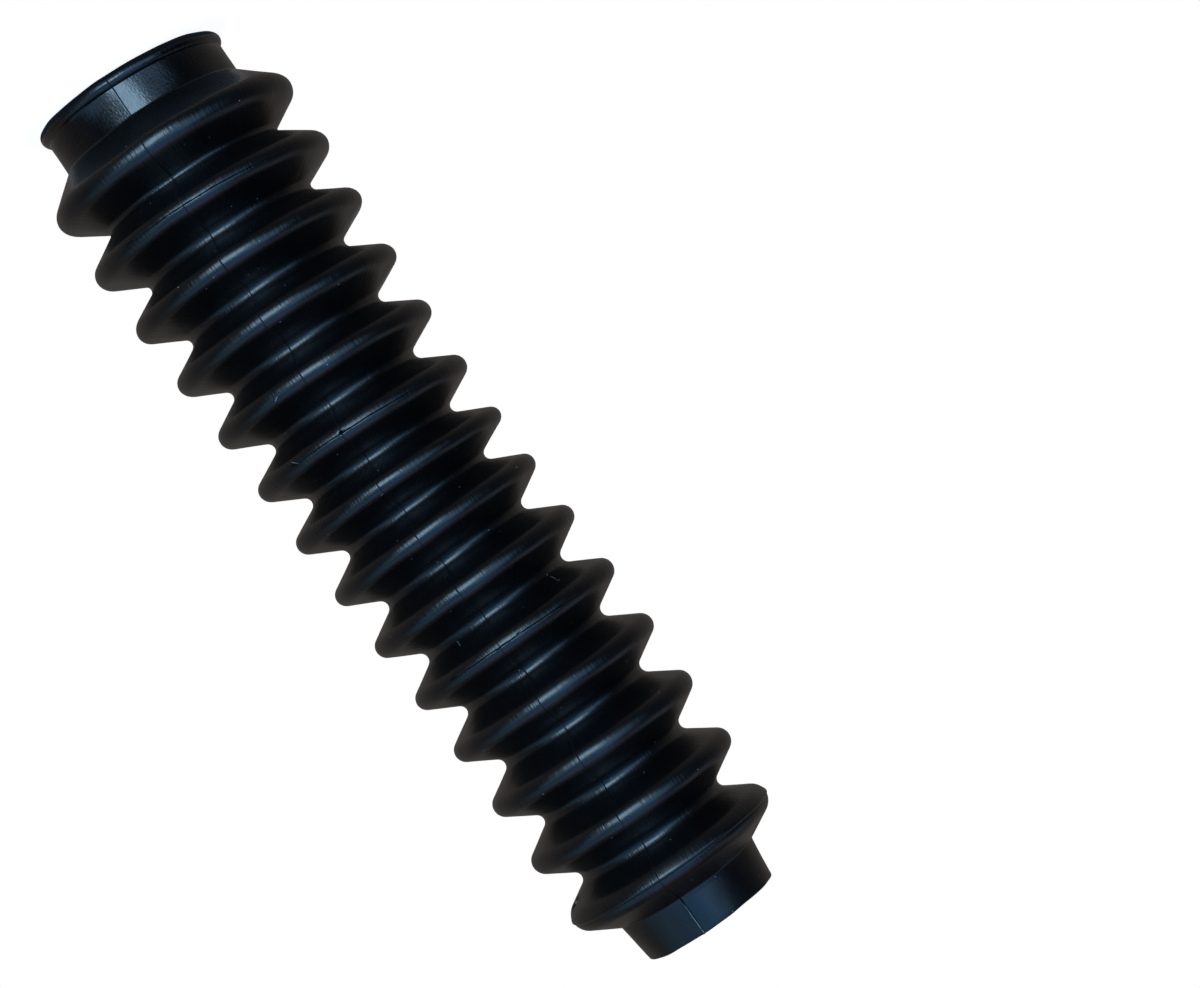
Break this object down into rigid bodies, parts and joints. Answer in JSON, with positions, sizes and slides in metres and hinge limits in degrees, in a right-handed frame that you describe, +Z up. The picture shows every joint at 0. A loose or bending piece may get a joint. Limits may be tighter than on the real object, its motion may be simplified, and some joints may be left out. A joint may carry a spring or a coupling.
{
  "type": "rubber bellows boot",
  "caption": "Moulded rubber bellows boot with a tapering row of rounded convolutions, a beaded cuff at the large end and a drafted cuff at the small end.",
  "frame": {"origin": "centre of the large cuff's end face, on which the boot stands", "axes": "+Z up the boot's axis towards the small cuff, -Y towards the mould's parting line that the boot shows in front"},
  "size_m": [0.0785, 0.0784, 0.2949],
  "materials": {
    "rubber": "moulded black rubber, satin"
  },
  "bodies": {
    "root": {"bellows_boot": "rubber"}
  },
  "joints": []
}
